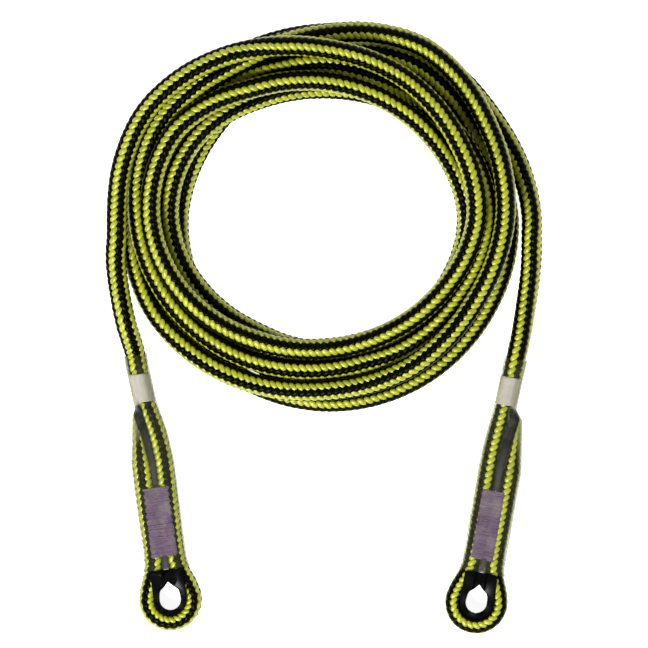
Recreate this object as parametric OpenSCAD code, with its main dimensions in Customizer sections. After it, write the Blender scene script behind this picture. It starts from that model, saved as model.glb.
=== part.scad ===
// Dynamic rope laid flat in a loose round coil, with a sewn eye on a thimble at each end.
// Millimetres. +Z is up and the rope lies on z = 0. The origin is the middle of the footprint.

/* [Rope] */
// Diameter of the rope
rope_d = 12; // [10:0.5:14.5]
// Diameter of the core inside the woven sheath
core_d = 8; // [6:0.5:9.5]

/* [Coil] */
// Mean radius of the turns
coil_r = 100; // [83:1:125]
// Distance from the middle of the footprint up to the coil's centre
coil_y = 66.5; // [50:0.5:90]

/* [Thimble] */
// Radius of the hole
hole_r = 6.3; // [5:0.1:7.6]
// Height of the hole's pointed tip above the hole's centre
hole_tip = 10.7; // [10:0.1:12]
// Wall between the hole and the rope's groove
thimble_wall = 1; // [0.8:0.1:2]
// Thickness of each flange beside the middle of the groove
flange_t = 1.1; // [0.8:0.1:2]
// Distance from the hole's centre to the outer edge of the round flange
flange_r = 10; // [9:0.1:12]
// Distance from the hole's centre to the flat top of the thimble
crown_y = 18; // [16:0.5:22]
// Radius of the crown's corners
crown_corner = 2; // [1:0.5:3]
// Depth of the hollow between the flanges above the hole
crown_dip = 3; // [1:0.5:4]
// Chamfer at both ends of the hole
hole_chamfer = 0.8; // [0.4:0.1:1.2]

/* [Sewn eye] */
// Distance from the hole's centre to the top of the sleeve
sleeve_end = 148; // [142:1:170]
// Wall of the clear sleeve
sleeve_wall = 0.5; // [0.3:0.1:1]
// Length of the stitched stretch
stitch_l = 42; // [30:1:50]
// Width of the stitching across the two strands
stitch_w = 17; // [12:0.2:20]
// Thickness of a loop of thread
thread_t = 0.8; // [0.5:0.1:1.2]
// Number of thread loops
stitch_rows = 21; // [10:1:26]
// Length of the label band
label_l = 17; // [10:1:18]
// Thickness of the label band
label_t = 0.25; // [0.2:0.05:0.3]
// Length of the tail's tapered end
taper_l = 30; // [24:1:32]

/* [Layout] */
// How far inside the coil's mean radius the holes lie to the left and right
eye_inset = 8.2; // [0:0.1:12]
// Distance from the coil's mean lowest point down to the left hole
left_reach = 129.5; // [125:0.5:160]
// Distance from the coil's mean lowest point down to the right hole
right_reach = 131.3; // [125:0.5:160]
// Lean of the left eye towards the left, in degrees
left_lean = 7.5; // [0:0.5:15]
// Lean of the right eye towards the right, in degrees
right_lean = 10; // [0:0.5:15]

/* [Hidden] */
$fn = 64;

rope_r = rope_d / 2;
core_r = core_d / 2;

// Clearances: a soft piece to its neighbour, the label to the rope, the sleeve to the rope.
soft_gap = 0.3;
label_gap = 0.05;
sleeve_gap = rope_d / 26;

// ---- The coil ----------------------------------------------------------------------------

// The rope's own weight presses it flat by a tenth of its diameter where it lies on the floor.
floor_z = rope_r - rope_d / 10;
// The coil and the eyes stand this far off the middle, so that the footprint is centred.
coil_shift = 0.8;
eye_shift = -0.3;
coil_centre = [coil_shift, coil_y];

// How far each turn strays from the mean radius, every 30 degrees from +X, anticlockwise.
// The last row is the half turn that leads out to the left leg. The strays are set for a rope
// of this diameter and grow with the rope's own.
stray_rope_d = 12;
stray_step = 30;
stray = [
    23.9, 16.8, 15, 10.2, 10.2, 17, 17, 17, 10.5, 4, 3.5, 3,
    8, 12, 17.5, 9.5, 6, 14, 12, 5, -3, -9, -9, -7,
    -3, -6.5, -13.5, -8, -3, 0.5, 2.5, 6, 8.5, 11, 12, 11.5,
    10, 4, 5.8, -2, -12, -14.5, -12, -9.5, -4.6, -2.2, -3, -4,
    -6, -12.5, -20, -23, -19, -9, -6.5, -13, -19.5, -19, -18, -16.5,
    -15, -19.5, -21.5, -19, -11.5, 3, 4.5, -4, -15, -21, -21, -16.5,
    -9.5, -8.5, -4.5, 0.5, 12, 24.5, 25
];

// Which turn lies on which, the lowest first, from each of these angles on.
pile_from = [0, 30, 120, 225];
pile = [
    [0, 3, 4, 5, 2, 1, 6],
    [0, 3, 4, 2, 1, 5, 6],
    [3, 2, 4, 0, 1, 5, 6],
    [2, 3, 4, 1, 0, 5]
];

turn_rings = 24;
last_ring = (len(stray) - 1) * stray_step * turn_rings / 360;

function clamped(list, i) = list[max(0, min(len(list) - 1, i))];

// A smooth curve through the numbers of a list.
function smooth(list, u) =
    let (i = floor(u), f = u - i,
         a = clamped(list, i - 1), b = clamped(list, i), c = clamped(list, i + 1), d = clamped(list, i + 2))
    b + f / 2 * (c - a + f * (2 * a - 5 * b + 4 * c - d + f * (3 * (b - c) + d - a)));

function ring_angle(i) = (i % turn_rings) * 360 / turn_rings;
turn_r = [for (i = [0:last_ring])
    coil_r + rope_d / stray_rope_d * smooth(stray, i * 360 / turn_rings / stray_step)];
turn_slope = [for (i = [0:last_ring])
    atan((clamped(turn_r, i + 1) - clamped(turn_r, i - 1)) / (turn_r[i] * 4 * PI / turn_rings))];

// A turn lies on the ones below it, a rope's diameter and the gap away. On either side of what it
// lies on it bends down no tighter than the climb's radius.
turn_gap = rope_d / 11;
spacing = rope_d + turn_gap;
climb_r = 240;
sag = pow(2 * PI * coil_r / turn_rings, 2) / (2 * climb_r);
sag_reach = 3;
passes = 9;
function pile_rank(i) =
    let (a = ring_angle(i), row = len([for (from = pile_from) if (a >= from) 1]) - 1)
    search(floor(i / turn_rings), pile[row])[0];
function beside(i, j) = (turn_r[i] - turn_r[j]) * cos(turn_slope[i] - turn_slope[j]);
supports = [for (i = [0:last_ring]) [for (j = [i % turn_rings:turn_rings:last_ring])
    if (j != i && pile_rank(j) < pile_rank(i) && abs(beside(i, j)) < spacing)
        [j, sqrt(spacing * spacing - pow(beside(i, j), 2))]]];
function laid(z) =
    let (rest = [for (i = [0:last_ring]) max([floor_z, for (s = supports[i]) z[s[0]] + s[1]])])
    [for (i = [0:last_ring]) max([for (m = [-sag_reach:sag_reach]) clamped(rest, i + m) - sag * m * m])];
function settled(z, n) = n == 0 ? z : settled(laid(z), n - 1);
turn_z = settled([for (i = [0:last_ring]) floor_z], passes);

function on_circle(c, r, a, z) = [c.x + r * cos(a), c.y + r * sin(a), z];
turns = [for (i = [0:last_ring]) on_circle(coil_centre, turn_r[i], ring_angle(i), turn_z[i])];

function unit(v) = v / norm(v);
function level(v) = [v.x, v.y, 0];

// Both ends of the coil run level, straight on from the turn, for one diameter.
function round_way(i) = [-sin(ring_angle(i)), cos(ring_angle(i)), 0];
coil_start_way = round_way(0);
coil_end_way = round_way(last_ring);
coil_start = turns[0] - rope_d * coil_start_way;
coil_end = turns[last_ring] + rope_d * coil_end_way;
coil_route = concat([coil_start], turns, [coil_end]);

// The least gap between two turns, on points four to a ring.
fine = 4;
fine_turns = [for (i = [0:last_ring - 1], f = [0:fine - 1])
    turns[i] + (turns[i + 1] - turns[i]) * f / fine];
function nearest(i) = min([for (j = [i + fine * turn_rings / 2:len(fine_turns) - 1])
    norm(fine_turns[i] - fine_turns[j])]);
least_gap = min([for (i = [0:2:len(fine_turns) - 1 - fine * turn_rings / 2]) nearest(i)]) - rope_d;
coil_length = sum_steps(coil_route);
function sum_steps(list, i = 1) = i >= len(list) ? 0 : norm(list[i] - list[i - 1]) + sum_steps(list, i + 1);
echo(least_gap = least_gap, coil_length = coil_length, highest = max(turn_z));

// ---- Swept tubes -------------------------------------------------------------------------

// Ring of points square to a route, its lower side flat where it would pass the floor.
function ring(p, way, r, sides) =
    let (across = unit(cross(way, [0, 0, 1])), up = cross(across, way))
    [for (k = [0:sides - 1]) let (a = k * 360 / sides, q = p + r * (cos(a) * across + sin(a) * up))
        [q.x, q.y, max(q.z, 0)]];

// Rings along a route: one radius per point, and the way the route points at its two ends.
function rings(route, radii, sides, first_way, last_way) =
    let (last = len(route) - 1)
    [for (i = [0:last])
        ring(route[i], i == 0 ? first_way : i == last ? last_way : unit(route[i + 1] - route[i - 1]),
            radii[i], sides)];

function joined(lists) = [for (list = lists, item = list) item];
function quad(a, b, c, d) = [[a, b, c], [a, c, d]];
function wall_faces(n, count, base, inward) =
    joined([for (i = [0:count - 2], k = [0:n - 1])
        let (a = base + i * n + k, b = base + i * n + (k + 1) % n)
        inward ? [[b, a, b + n], [b + n, a, a + n]] : quad(a, b, b + n, a + n)]);

module solid_tube(loops) {
    n = len(loops[0]);
    top = (len(loops) - 1) * n;
    first_cap = [for (k = [1:n - 2]) [0, k + 1, k]];
    last_cap = [for (k = [1:n - 2]) [top, top + k, top + k + 1]];
    polyhedron(joined(loops), concat(wall_faces(n, len(loops), 0, false), first_cap, last_cap));
}

module hollow_tube(outer, inner) {
    n = len(outer[0]);
    half = len(outer) * n;
    top = half - n;
    first_cap = joined([for (k = [0:n - 1]) let (j = (k + 1) % n) quad(j, k, half + k, half + j)]);
    last_cap = joined([for (k = [0:n - 1]) let (j = (k + 1) % n)
        quad(top + k, top + j, half + top + j, half + top + k)]);
    polyhedron(joined(concat(outer, inner)), concat(wall_faces(n, len(outer), 0, false),
        wall_faces(n, len(inner), half, true), first_cap, last_cap));
}

coil_sides = 6;
cord_sides = 12;
function same(value, list) = [for (item = list) value];

function coil_loops(r) = rings(coil_route, same(r, coil_route), coil_sides, coil_start_way, coil_end_way);
module coil_sheath() color("yellowgreen") hollow_tube(coil_loops(rope_r), coil_loops(core_r));
module coil_core() color("ivory") solid_tube(coil_loops(core_r));

// ---- The sewn eyes, in their own frame ---------------------------------------------------
// The hole's centre is the origin, +Y leads up the eye, and +X is the standing strand's side.

strand_x = rope_r + soft_gap / 2;
// The thimble squeezes the bight a little thinner than the rope.
squeeze = 0.4;
bight_pipe_r = rope_r - squeeze;
groove_r = bight_pipe_r + soft_gap;
thimble_h = 2 * (groove_r + flange_t);
// The thimble rests on the floor, or a thick rope in its sleeve does.
eye_z = max(thimble_h / 2, rope_r + sleeve_gap + sleeve_wall);
bight_r = hole_r + thimble_wall + groove_r;
// Angle above the hole's centre at which the rope leaves the bight, and the bend that follows.
leave = 20;
neck_r = 20;
neck_run = (bight_r * cos(leave) - strand_x - neck_r * (1 - cos(leave))) / sin(leave);
neck_y = bight_r * sin(leave) + neck_run * cos(leave) + neck_r * sin(leave);

// Stations up the eye: four along the tail's taper, the label's lower edge, middle and upper edge,
// and the top of the sleeve.
taper_below = 66;
label_below = 20;
taper_y = sleeve_end - taper_below;
label_mid = sleeve_end - label_below;
top_y = concat([for (share = [0, 0.4, 0.73, 1]) taper_y + share * taper_l],
    [label_mid - label_l / 2, label_mid, label_mid + label_l / 2, sleeve_end]);
// The standing strand's place across the eye at each of those stations, as a share of its place
// beside the tail.
left_top = [1, 0.85, 0.6, 0.3, 0.05, -0.07, -0.18, -0.28];
right_top = [1, 0.93, 0.78, 0.64, 0.54, 0.49, 0.44, 0.34];
seam = 5;
tail_r = [for (share = [1, 0.7, 0.43, 0.23]) share * rope_r];
tail_x = -strand_x;

function top_point(top, i) = [top[i] * strand_x, top_y[i], eye_z];
function seam_way(top) = unit(top_point(top, seam + 1) - top_point(top, seam - 1));

// From the label down the standing strand, round the bight and up the tail.
bight_steps = 11;
neck_steps = 2;
half_way_y = (taper_y + neck_y) / 2;
neck = [for (i = [0:neck_steps]) let (a = leave * i / neck_steps)
    [strand_x + neck_r * (1 - cos(a)), neck_y - neck_r * sin(a), eye_z]];
bight = [for (i = [0:bight_steps]) let (a = leave - (180 + 2 * leave) * i / bight_steps)
    on_circle([0, 0], bight_r, a, eye_z)];
function opposite(list) = [for (i = [len(list) - 1:-1:0]) [-list[i].x, list[i].y, list[i].z]];
function standing(top) = [for (i = [seam:-1:0]) top_point(top, i)];
strand_mid = [[strand_x, half_way_y, eye_z]];
function eye_route(top) = concat(standing(top), strand_mid, neck, bight, opposite(neck),
    opposite(strand_mid), [[-strand_x, taper_y, eye_z]]);
half_squeezed = rope_r - squeeze / 2;
eye_pipe = concat(same(rope_r, [0:seam]), [rope_r, rope_r, half_squeezed, bight_pipe_r],
    same(bight_pipe_r, bight), [bight_pipe_r, half_squeezed, rope_r, rope_r, rope_r]);
function eye_loops(top, trim) = rings(eye_route(top), [for (r = eye_pipe) r - trim], cord_sides,
    -seam_way(top), [0, 1, 0]);

module eye_sheath(top) color("yellowgreen") hollow_tube(eye_loops(top, 0), eye_loops(top, rope_r - core_r));
module eye_core(top) color("ivory") solid_tube(eye_loops(top, rope_r - core_r));

// The tail's heat-sealed end, tapered to a blunt tip.
tip_r = 0.6;
module tail_end() {
    route = concat([for (i = [0:3]) [tail_x, top_y[i], eye_z]], [[tail_x, top_y[3] + tip_r, eye_z]]);
    loops = rings(route, concat(tail_r, [tip_r]), cord_sides, [0, 1, 0], [0, 1, 0]);
    color("darkolivegreen") solid_tube(loops);
}

// ---- Thimble -----------------------------------------------------------------------------

module thimble_outline() {
    circle(flange_r);
    translate([-flange_r, 0]) square([2 * flange_r, crown_y - crown_corner]);
    translate([crown_corner - flange_r, 0]) square([2 * (flange_r - crown_corner), crown_y]);
    for (s = [-1, 1]) translate([s * (flange_r - crown_corner), crown_y - crown_corner]) circle(crown_corner);
}

// The hole is round, with a pointed tip that takes less than a quarter of its wall.
tip_reach = 37;
module hole_outline() {
    circle(hole_r);
    polygon([[-hole_r * sin(tip_reach), hole_r * cos(tip_reach)], [hole_r * sin(tip_reach),
        hole_r * cos(tip_reach)], [0, hole_tip]]);
}

// The groove in each half, from just past the bottom up one side and out through the crown.
groove_from = -100;
groove_step = 20;
groove_past = 4;
groove_out = crown_y - bight_r * sin(leave) + groove_past;
groove_z = thimble_h / 2;
groove_half = concat(
    [for (a = [groove_from:groove_step:leave]) on_circle([0, 0], bight_r, a, groove_z)],
    [on_circle([0, 0], bight_r, leave, groove_z) + groove_out * [-sin(leave), cos(leave), 0]]);
groove_loops = rings(groove_half, same(groove_r, groove_half), cord_sides,
    [-sin(groove_from), cos(groove_from), 0], [-sin(leave), cos(leave), 0]);
module rope_groove() {
    for (s = [0, 1]) mirror([s, 0, 0]) solid_tube(groove_loops);
}

// The hollow above the tip, between the flanges of the two legs.
dip_w = 2.7;
dip_rise = 3;
dip_foot = 0.6;
module crown_hollow() {
    linear_extrude(crown_dip) polygon([[-dip_w, crown_y + 1], [dip_w, crown_y + 1],
        [dip_w, hole_tip + dip_rise], [dip_foot, hole_tip - dip_foot],
        [-dip_foot, hole_tip - dip_foot], [-dip_w, hole_tip + dip_rise]]);
}

eps = 0.01;
module thimble() {
    color([0.12, 0.12, 0.12]) translate([0, 0, eye_z - thimble_h / 2]) difference() {
        linear_extrude(thimble_h) thimble_outline();
        rope_groove();
        translate([0, 0, -1]) linear_extrude(thimble_h + 2) hole_outline();
        translate([0, 0, -eps]) cylinder(r1 = hole_r + hole_chamfer, r2 = hole_r, h = hole_chamfer);
        translate([0, 0, thimble_h - hole_chamfer + eps])
            cylinder(r1 = hole_r, r2 = hole_r + hole_chamfer, h = hole_chamfer);
        translate([0, 0, thimble_h - crown_dip]) crown_hollow();
        crown_hollow();
    }
}

// ---- Stitching, label and sleeve -----------------------------------------------------------

module rounded(w, h, r) {
    square([w - 2 * r, h], center = true);
    square([w, h - 2 * r], center = true);
    for (x = [-1, 1], y = [-1, 1]) translate([x * (w / 2 - r), y * (h / 2 - r)]) circle(r);
}

// Each loop of thread goes over both strands, down through one, under and up through the other.
thread_corner = 2;
thread_share = 0.7;
module stitching() {
    pitch = stitch_l / stitch_rows;
    height = rope_d + soft_gap;
    color("mediumpurple") for (i = [0:stitch_rows - 1])
        translate([0, neck_y + (i + 1) * pitch, eye_z]) rotate([90, 0, 0])
            linear_extrude(pitch * thread_share) difference() {
                rounded(stitch_w, height, thread_corner);
                rounded(stitch_w - 2 * thread_t, height - 2 * thread_t, thread_corner - thread_t);
            }
}

module label(top) {
    route = [for (i = [seam - 1:seam + 1]) top_point(top, i)];
    way = unit(route[2] - route[0]);
    inner = rings(route, same(rope_r + label_gap, route), cord_sides, way, way);
    outer = rings(route, same(rope_r + label_gap + label_t, route), cord_sides, way, way);
    color("whitesmoke") hollow_tube(outer, inner);
}

// The sleeve's section is drawn taut round two circles, the standing strand's and the tail's.
// At each angle its point lies on whichever circle reaches further that way.
sleeve_start = crown_y + soft_gap;
band_sides = 24;
function band(c1, r1, c2, r2, y) =
    [for (k = [0:band_sides - 1])
        let (a = (k + 0.5) * 360 / band_sides, first = c1 * cos(a) + r1 >= c2 * cos(a) + r2,
             c = first ? c1 : c2, r = first ? r1 : r2)
        [c + r * cos(a), y, eye_z + r * sin(a)]];
// Where the sleeve starts the strands still lean apart, on their straight run from the bight.
start_x = bight_r * cos(leave) - (sleeve_start - bight_r * sin(leave)) * tan(leave);
function sleeve_bands(top, extra) =
    let (r = rope_r + sleeve_gap + extra)
    concat(
        [for (s = [[sleeve_start, start_x], [neck_y, strand_x], [half_way_y, strand_x]])
            band(s[1], r, -s[1], r, s[0])],
        [for (i = [0:3]) band(top[i] * strand_x, r, tail_x, tail_r[i] + sleeve_gap + extra, top_y[i])],
        [for (i = [4:7]) band(top[i] * strand_x, r, top[i] * strand_x, r, top_y[i])]);
module sleeve(top) {
    color([0.9, 0.9, 0.8, 0.4]) hollow_tube(sleeve_bands(top, sleeve_wall), sleeve_bands(top, 0));
}

// ---- Both eyes in place, and the legs that lead to them -------------------------------------

coil_low_y = coil_y - coil_r;
left_eye = [eye_shift - (coil_r - eye_inset), coil_low_y - left_reach];
right_eye = [eye_shift + (coil_r - eye_inset), coil_low_y - right_reach];

module at_left() translate(left_eye) rotate(left_lean) children();
module at_right() translate(right_eye) rotate(-right_lean) mirror([1, 0, 0]) children();

function turned(v, a) = [v.x * cos(a) - v.y * sin(a), v.x * sin(a) + v.y * cos(a), v.z];
function to_left(v) = turned(v, left_lean);
function to_right(v) = turned([-v.x, v.y, v.z], -right_lean);
function left_at(p) = to_left(p) + [left_eye.x, left_eye.y, 0];
function right_at(p) = to_right(p) + [right_eye.x, right_eye.y, 0];

// The free stretch of each leg: points from the coil's end, then the eye's top down to the seam.
left_bend = [[-0.6, -12, -3.5], [1.2, -30, -8.5], [5.3, -51, -9]];
right_bend = [[-0.5, -18, 0], [-3.3, -40, 0], [-7, -62, 0.5]];

function bent(from, bend) =
    [for (d = bend) level(from + d) + [0, 0, max(floor_z, from.z + d.z)]];
left_leg_route = concat([coil_end], bent(coil_end, left_bend),
    [for (i = [7:-1:seam]) left_at(top_point(left_top, i))]);
right_leg_route = concat([coil_start], bent(coil_start, right_bend),
    [for (i = [7:-1:seam]) right_at(top_point(right_top, i))]);
left_seam_way = to_left(-seam_way(left_top));
right_seam_way = to_right(-seam_way(right_top));

function left_leg_loops(r) =
    rings(left_leg_route, same(r, left_leg_route), cord_sides, coil_end_way, left_seam_way);
function right_leg_loops(r) =
    rings(right_leg_route, same(r, right_leg_route), cord_sides, -coil_start_way, right_seam_way);

module left_leg_sheath() color("yellowgreen") hollow_tube(left_leg_loops(rope_r), left_leg_loops(core_r));
module left_leg_core() color("ivory") solid_tube(left_leg_loops(core_r));
module right_leg_sheath() color("yellowgreen") hollow_tube(right_leg_loops(rope_r), right_leg_loops(core_r));
module right_leg_core() color("ivory") solid_tube(right_leg_loops(core_r));

module left_eye_sheath() at_left() eye_sheath(left_top);
module left_eye_core() at_left() eye_core(left_top);
module left_tail_end() at_left() tail_end();
module left_thimble() at_left() thimble();
module left_stitching() at_left() stitching();
module left_label() at_left() label(left_top);
module left_sleeve() at_left() sleeve(left_top);

module right_eye_sheath() at_right() eye_sheath(right_top);
module right_eye_core() at_right() eye_core(right_top);
module right_tail_end() at_right() tail_end();
module right_thimble() at_right() thimble();
module right_stitching() at_right() stitching();
module right_label() at_right() label(right_top);
module right_sleeve() at_right() sleeve(right_top);

coil_sheath();
coil_core();
left_leg_sheath();
left_leg_core();
right_leg_sheath();
right_leg_core();
left_eye_sheath();
left_eye_core();
right_eye_sheath();
right_eye_core();
left_tail_end();
right_tail_end();
left_thimble();
right_thimble();
left_stitching();
right_stitching();
left_label();
right_label();
left_sleeve();
right_sleeve();
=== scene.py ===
# Looks of the coiled rope with two sewn eyes: braided yarn, thimbles, stitching, labels, sleeves.
# Only the lights are placed in metres.
import math

import bmesh
import bpy
import numpy as np
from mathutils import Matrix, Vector


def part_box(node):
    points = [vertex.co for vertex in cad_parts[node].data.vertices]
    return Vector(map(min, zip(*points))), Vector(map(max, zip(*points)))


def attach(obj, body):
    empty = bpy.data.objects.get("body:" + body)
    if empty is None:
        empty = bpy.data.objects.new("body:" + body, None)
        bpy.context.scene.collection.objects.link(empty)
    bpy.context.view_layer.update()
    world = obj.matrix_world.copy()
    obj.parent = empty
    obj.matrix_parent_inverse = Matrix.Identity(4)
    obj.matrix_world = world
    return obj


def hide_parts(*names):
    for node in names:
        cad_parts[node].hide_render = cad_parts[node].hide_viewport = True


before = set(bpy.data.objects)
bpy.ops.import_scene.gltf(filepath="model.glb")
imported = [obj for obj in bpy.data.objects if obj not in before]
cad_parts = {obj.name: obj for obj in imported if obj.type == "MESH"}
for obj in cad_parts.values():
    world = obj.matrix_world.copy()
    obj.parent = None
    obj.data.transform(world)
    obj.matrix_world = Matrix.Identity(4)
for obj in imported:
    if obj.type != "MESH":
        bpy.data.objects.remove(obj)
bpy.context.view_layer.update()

MM = 0.001
BODY = "root"
SEED = 12
rng = np.random.default_rng(SEED)

# ---- The rope's route, as in the CAD -------------------------------------------------------

ROPE_D = 12
ROPE_R = ROPE_D / 2
CORE_R = 4
SOFT_GAP = 0.3
SLEEVE_GAP = ROPE_D / 26
SLEEVE_WALL = 0.5

COIL_R = 100
COIL_CENTRE = (0.8, 66.5)
# The rope's own weight presses it flat by a tenth of its diameter where it lies on the floor.
FLOOR_Z = ROPE_R - ROPE_D / 10
# No yarn or film goes below this height.
LOWEST = 0.02
# How far each turn strays from the mean radius, every 30 degrees from +X, anticlockwise. The last
# row is the half turn that leads out to the left leg.
STRAY_STEP = 30
STRAY = [
    23.9, 16.8, 15, 10.2, 10.2, 17, 17, 17, 10.5, 4, 3.5, 3,
    8, 12, 17.5, 9.5, 6, 14, 12, 5, -3, -9, -9, -7,
    -3, -6.5, -13.5, -8, -3, 0.5, 2.5, 6, 8.5, 11, 12, 11.5,
    10, 4, 5.8, -2, -12, -14.5, -12, -9.5, -4.6, -2.2, -3, -4,
    -6, -12.5, -20, -23, -19, -9, -6.5, -13, -19.5, -19, -18, -16.5,
    -15, -19.5, -21.5, -19, -11.5, 3, 4.5, -4, -15, -21, -21, -16.5,
    -9.5, -8.5, -4.5, 0.5, 12, 24.5, 25,
]
# Which turn lies on which, the lowest first, from each of these angles on.
PILE_FROM = [0, 30, 120, 225]
PILE = [
    [0, 3, 4, 5, 2, 1, 6],
    [0, 3, 4, 2, 1, 5, 6],
    [3, 2, 4, 0, 1, 5, 6],
    [2, 3, 4, 1, 0, 5],
]
# The coil is worked out at rings, this many to a turn.
TURN_RINGS = 24
LAST_RING = (len(STRAY) - 1) * STRAY_STEP * TURN_RINGS // 360
# A turn lies on the ones below it, a rope's diameter and a gap away. On either side of what it lies
# on it bends down no tighter than the climb's radius, which makes it sag from ring to ring.
SPACING = ROPE_D + ROPE_D / 11
CLIMB_R = 240
SAG = (2 * math.pi * COIL_R / TURN_RINGS) ** 2 / (2 * CLIMB_R)
SAG_REACH = 3
# The heights are worked out this many times over, each time from the ones before.
PASSES = 9

# The sewn eyes, in their own frame: the hole's centre is the origin, +Y leads up the eye, and +X is
# the standing strand's side. From the label the rope runs down the standing strand, round the bight
# in the thimble's groove and back up as the tail.
EYE_Z = 7
STRAND_X = ROPE_R + SOFT_GAP / 2
# The thimble squeezes the bight a little thinner than the rope.
SQUEEZE = 0.4
BIGHT_PIPE_R = ROPE_R - SQUEEZE
BIGHT_R = 13.2
BIGHT_POINTS = 12
# The thimble's flat top.
CROWN_Y = 18
# Angle above the hole's centre at which the rope leaves the bight, and the bend that follows.
LEAVE = math.radians(20)
NECK_R = 20
NECK_RUN = (BIGHT_R * math.cos(LEAVE) - STRAND_X - NECK_R * (1 - math.cos(LEAVE))) / math.sin(LEAVE)
NECK_Y = BIGHT_R * math.sin(LEAVE) + NECK_RUN * math.cos(LEAVE) + NECK_R * math.sin(LEAVE)
# Places up the eye: four along the tail's taper, the label's lower edge, middle and upper edge, and
# the top of the sleeve. Then where the standing strand is across the eye at each of them, as a
# share of its place beside the tail.
TOP_Y = [82, 94, 103.9, 112, 119.5, 128, 136.5, 148]
LEFT_TOP = [1, 0.85, 0.6, 0.3, 0.05, -0.07, -0.18, -0.28]
RIGHT_TOP = [1, 0.93, 0.78, 0.64, 0.54, 0.49, 0.44, 0.34]
TAPER_Y, SLEEVE_END = TOP_Y[0], TOP_Y[-1]
# The eye's rope meets the leg's under the label's middle, which is the place with this number.
SEAM = 5
LABEL_L = TOP_Y[SEAM + 1] - TOP_Y[SEAM - 1]
# The tail's radius at the four places along its taper, and just past the last one.
TAIL_R = [ROPE_R * share for share in (1, 0.7, 0.43, 0.23)]
TIP_R = 0.6
LEFT_EYE, LEFT_LEAN = (-92.1, -163), 7.5
RIGHT_EYE, RIGHT_LEAN = (91.5, -164.8), -10
# The legs' points, as steps from the end of the coil that each leg leaves.
LEFT_BEND = [(-0.6, -12, -3.5), (1.2, -30, -8.5), (5.3, -51, -9)]
RIGHT_BEND = [(-0.5, -18, 0), (-3.3, -40, 0), (-7, -62, 0.5)]


def clamped(values, i):
    return values[max(0, min(len(values) - 1, i))]


def smooth(values, u):
    """The value at place u of a list, between its items on a smooth curve through them."""
    i = math.floor(u)
    f = u - i
    a, b, c, d = (clamped(values, i + k) for k in (-1, 0, 1, 2))
    return b + f / 2 * (c - a + f * (2 * a - 5 * b + 4 * c - d + f * (3 * (b - c) + d - a)))


def ring_angle(i):
    return (i % TURN_RINGS) * 360 / TURN_RINGS


def coil_points():
    """The turns' centreline: each turn lies on the ones below it and bends down beside them."""
    count = LAST_RING + 1
    r = [COIL_R + smooth(STRAY, i * 360 / TURN_RINGS / STRAY_STEP) for i in range(count)]
    slope = [
        math.atan((clamped(r, i + 1) - clamped(r, i - 1)) / (r[i] * 4 * math.pi / TURN_RINGS))
        for i in range(count)
    ]

    def rank(i):
        row = sum(ring_angle(i) >= start for start in PILE_FROM) - 1
        return PILE[row].index(i // TURN_RINGS)

    supports = []
    for i in range(count):
        under = []
        for j in range(i % TURN_RINGS, count, TURN_RINGS):
            beside = (r[i] - r[j]) * math.cos(slope[i] - slope[j])
            if j != i and rank(j) < rank(i) and abs(beside) < SPACING:
                under.append((j, math.sqrt(SPACING**2 - beside**2)))
        supports.append(under)
    z = [FLOOR_Z] * count
    for _ in range(PASSES):
        rest = [max([FLOOR_Z] + [z[j] + h for j, h in supports[i]]) for i in range(count)]
        z = [
            max(clamped(rest, i + m) - SAG * m * m for m in range(-SAG_REACH, SAG_REACH + 1))
            for i in range(count)
        ]
    angle = np.radians([ring_angle(i) for i in range(count)])
    r = np.array(r)
    return np.stack([COIL_CENTRE[0] + r * np.cos(angle), COIL_CENTRE[1] + r * np.sin(angle), z], 1)


def round_way(i):
    """The way that the coil runs at a ring."""
    a = math.radians(ring_angle(i))
    return np.array([-math.sin(a), math.cos(a), 0])


def bent(start, bend):
    """Points at the given steps from a start, none lower than the rope lies on the floor."""
    return [(start[0] + x, start[1] + y, max(FLOOR_Z, start[2] + z)) for x, y, z in bend]


def eye_place(points, centre, lean, mirrored):
    """From an eye's own frame (hole at the origin, +Y up the eye) to the row frame."""
    p = np.array(points, float)
    if mirrored:
        p[..., 0] *= -1
    a = math.radians(lean)
    x, y = p[..., 0].copy(), p[..., 1].copy()
    p[..., 0] = centre[0] + x * math.cos(a) - y * math.sin(a)
    p[..., 1] = centre[1] + x * math.sin(a) + y * math.cos(a)
    return p


def left_place(points):
    return eye_place(points, LEFT_EYE, LEFT_LEAN, False)


def right_place(points):
    return eye_place(points, RIGHT_EYE, RIGHT_LEAN, True)


def standing_points(top, places):
    """Points of the standing strand at some of the places up the eye."""
    return [(top[i] * STRAND_X, TOP_Y[i], EYE_Z) for i in places]


def eye_points(top):
    """(points, radii) from the seam under the label down, round the bight and up to the tail's tip."""
    standing = standing_points(top, range(SEAM, -1, -1))
    middle = (STRAND_X, (TAPER_Y + NECK_Y) / 2, EYE_Z)
    neck = [
        (STRAND_X + NECK_R * (1 - math.cos(a)), NECK_Y - NECK_R * math.sin(a), EYE_Z)
        for a in (0, LEAVE / 2, LEAVE)
    ]
    bight = [
        (BIGHT_R * math.cos(a), BIGHT_R * math.sin(a), EYE_Z)
        for a in np.linspace(LEAVE, -math.pi - LEAVE, BIGHT_POINTS)
    ]
    way_back = [(-x, y, z) for x, y, z in [*neck[::-1], middle]]
    tail = [(-STRAND_X, y, EYE_Z) for y in (*TOP_Y[:4], TOP_Y[3] + TIP_R)]
    points = [*standing, middle, *neck, *bight, *way_back, *tail]
    half = ROPE_R - SQUEEZE / 2
    squeezed = [half] + [BIGHT_PIPE_R] * (BIGHT_POINTS + 2) + [half]
    radii = [ROPE_R] * (len(standing) + 2) + squeezed + [ROPE_R, ROPE_R] + TAIL_R + [TIP_R]
    return np.array(points), np.array(radii)


FINE_STEP, LEAST_STEPS = 0.25, 4


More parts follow.
